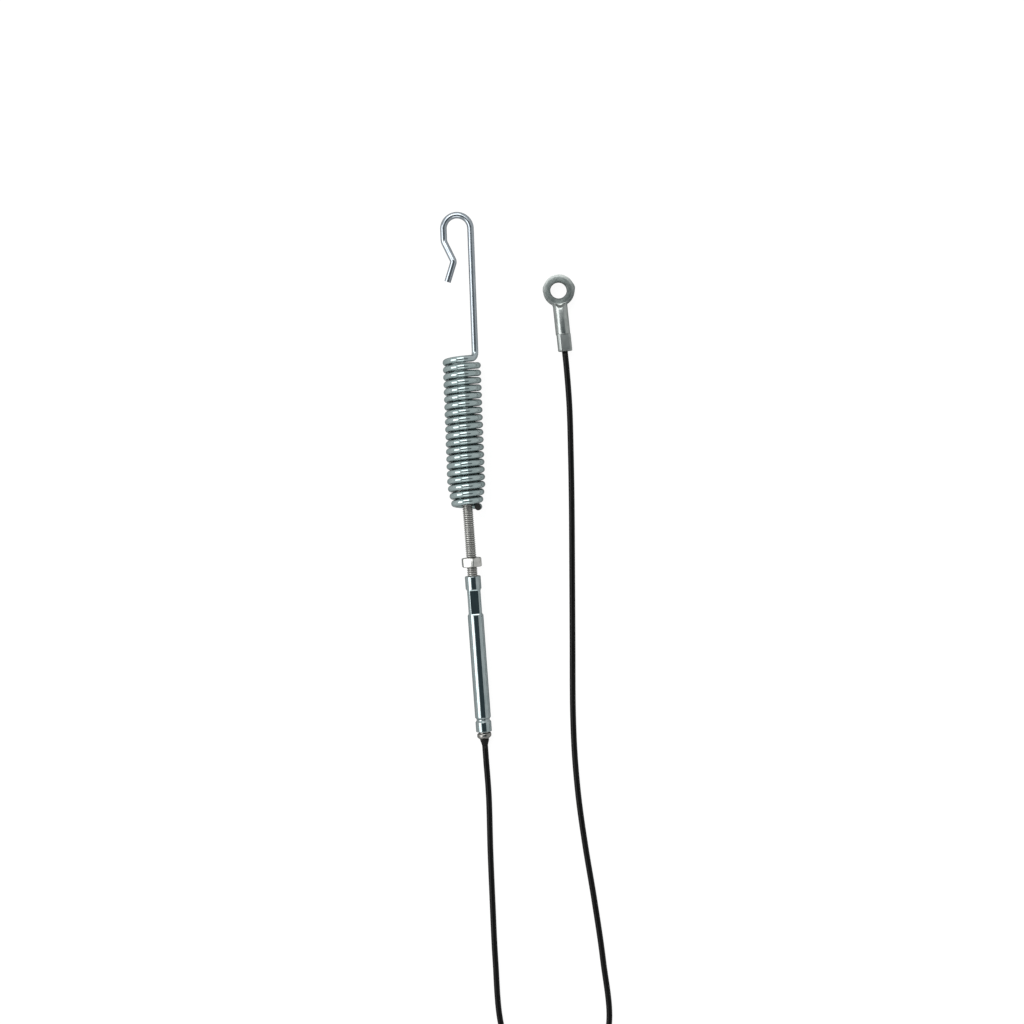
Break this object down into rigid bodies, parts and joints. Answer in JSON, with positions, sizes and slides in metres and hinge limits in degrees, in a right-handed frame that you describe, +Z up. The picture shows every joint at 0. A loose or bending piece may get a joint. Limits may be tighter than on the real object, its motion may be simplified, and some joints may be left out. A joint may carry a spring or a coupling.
{
  "type": "implement control cable",
  "caption": "Long control cable with an eye terminal, a black coated rope, a screw adjuster with jam nut, and an extension spring whose wire ends in a long hook.",
  "frame": {"origin": "on the surface the cable lies on, under the middle of the hook, spring and adjuster", "axes": "+Y along the spring's axis towards its hook, +Z up from the surface"},
  "size_m": [0.0875, 0.5341, 0.023],
  "materials": {
    "spring_wire": "bright zinc plated spring wire",
    "screw_steel": "plain zinc plated steel, warm grey",
    "plated_barrel": "polished zinc plate on turned steel",
    "terminal": "dull zinc plate on forged steel",
    "rope": "galvanised wire rope",
    "jacket": "smooth black vinyl, semi-gloss",
    "seal": "matt black"
  },
  "bodies": {
    "spring": {"hook_spring": "spring_wire"},
    "stud": {"adjuster_stud": "screw_steel"},
    "cable": {"swivel_ferrule": "plated_barrel", "cable_seal": "seal", "cable_jacket": "jacket", "wire_rope": "rope", "eye_terminal": "terminal"},
    "barrel": {"adjuster_barrel": "plated_barrel"},
    "nut": {"jam_nut": "screw_steel"}
  },
  "joints": [
    {"name": "spring_stretch", "type": "slide", "parent": "spring", "child": "stud", "axis": [0, -1, 0], "range_m": [0, 0.03], "stiffness_N_per_m": 17900, "deforming": ["hook_spring"]},
    {"name": "adjuster_travel", "type": "slide", "parent": "stud", "child": "cable", "axis": [0.034, -0.9983, -0.0468], "range_m": [-0.012, 0.018]},
    {"name": "barrel_spin", "type": "hinge", "parent": "cable", "child": "barrel", "pos_m": [0, -0.00981, 0.01148], "axis": [0.034, -0.9983, -0.0468], "range_deg": [-3402, 5103]},
    {"name": "nut_backoff", "type": "slide", "parent": "barrel", "child": "nut", "axis": [-0.034, 0.9983, 0.0468], "range_m": [-0.0051, 0.014]}
  ],
  "couplings": [
    {"joint": "barrel_spin", "follows": "adjuster_travel", "rad_per_m": 4947.4}
  ]
}
